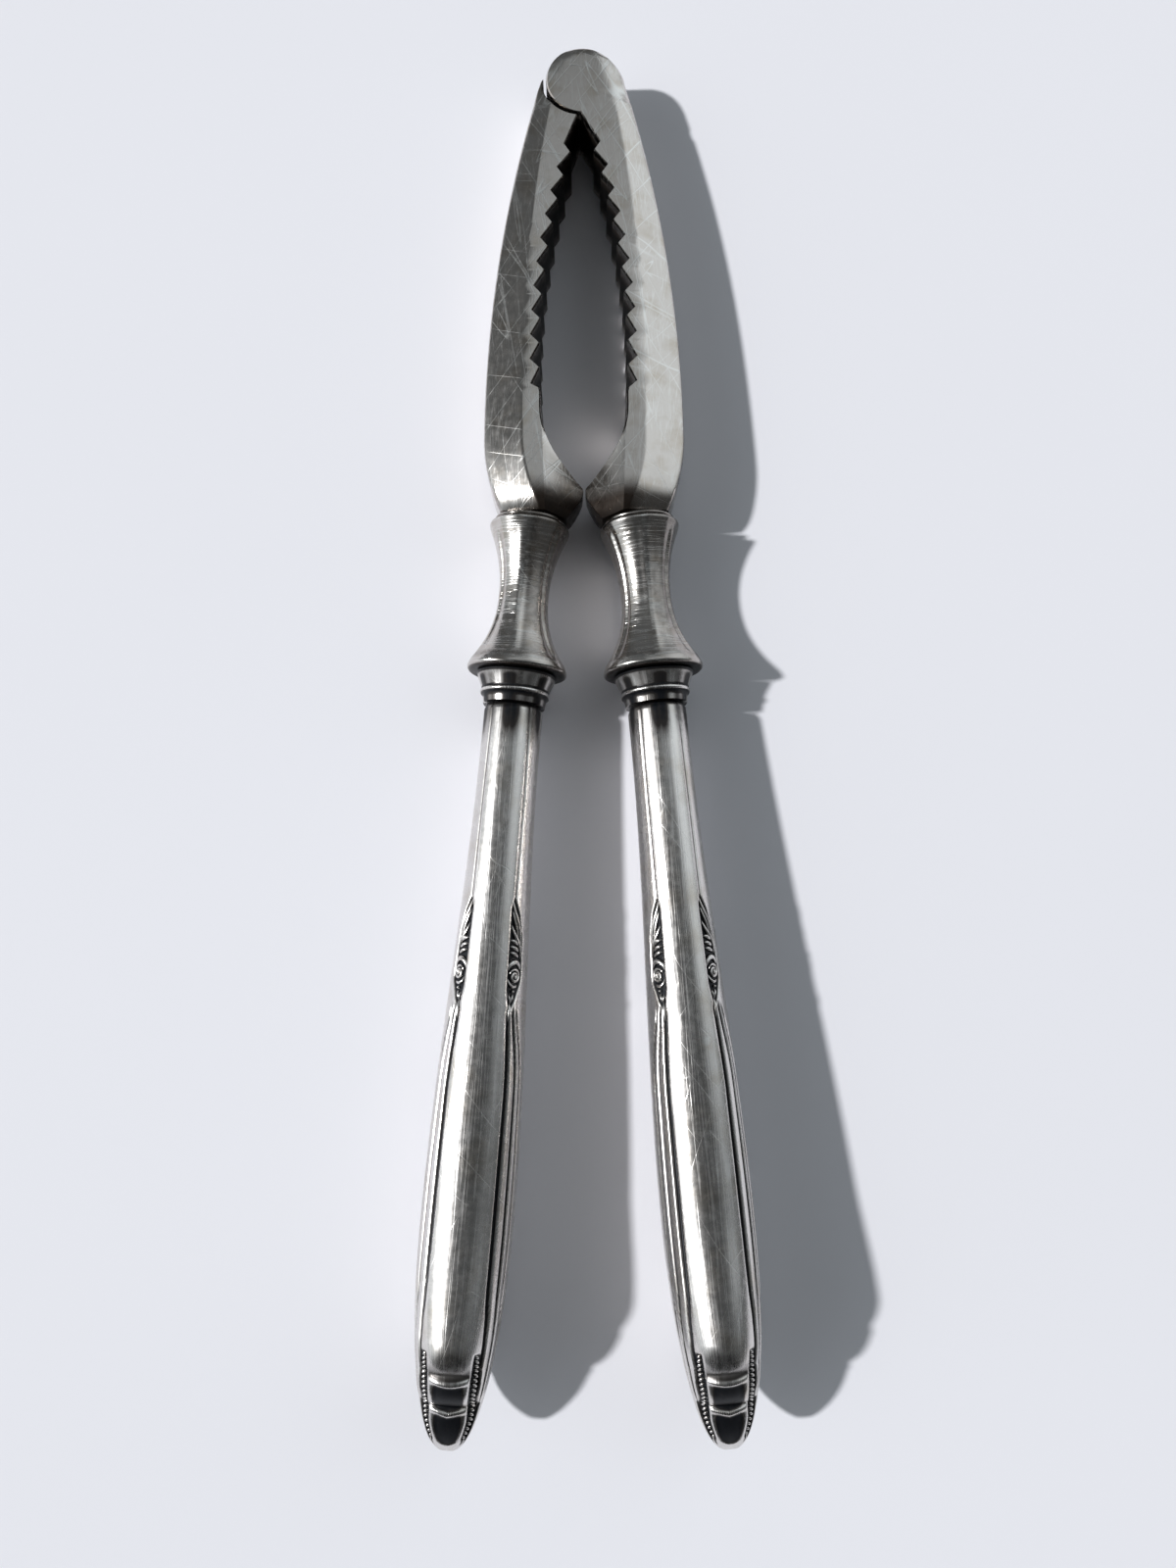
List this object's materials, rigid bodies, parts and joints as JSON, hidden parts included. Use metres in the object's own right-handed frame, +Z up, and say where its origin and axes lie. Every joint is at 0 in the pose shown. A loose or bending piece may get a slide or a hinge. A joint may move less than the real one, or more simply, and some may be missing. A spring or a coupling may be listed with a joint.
{
  "type": "nutcracker",
  "caption": "Hinged plier-type nutcracker with toothed jaws that open from a round joint at the head, waisted ferrules and long hollow handles with lobed ends.",
  "frame": {"origin": "middle of the closed tool's footprint, on the table it lies on", "axes": "+Y along the tool towards the hinge at its head, +X across it to the right, +Z up from the table through its thickness"},
  "size_m": [0.0434, 0.1896, 0.0177],
  "materials": {
    "jaw_silver": "satin, worn silver plate with fine scratches",
    "handle_silver": "polished silver with fine hairlines",
    "pin_steel": "plain",
    "handle_cement": "matt set cement"
  },
  "bodies": {
    "left_arm": {"left_jaw": "jaw_silver", "left_ferrule": "jaw_silver", "left_collar": "handle_silver", "left_handle_outer_half": "handle_silver", "left_handle_inner_half": "handle_silver", "left_handle_core": "handle_cement"},
    "right_arm": {"right_jaw": "jaw_silver", "right_ferrule": "jaw_silver", "right_collar": "handle_silver", "right_handle_outer_half": "handle_silver", "right_handle_inner_half": "handle_silver", "right_handle_core": "handle_cement", "pivot_pin": "pin_steel"}
  },
  "joints": [
    {"name": "hinge", "type": "hinge", "parent": "left_arm", "child": "right_arm", "pos_m": [0, 0.08947, 0.0046], "axis": [0, 0.0252, 0.9997], "range_deg": [0, 90]}
  ]
}
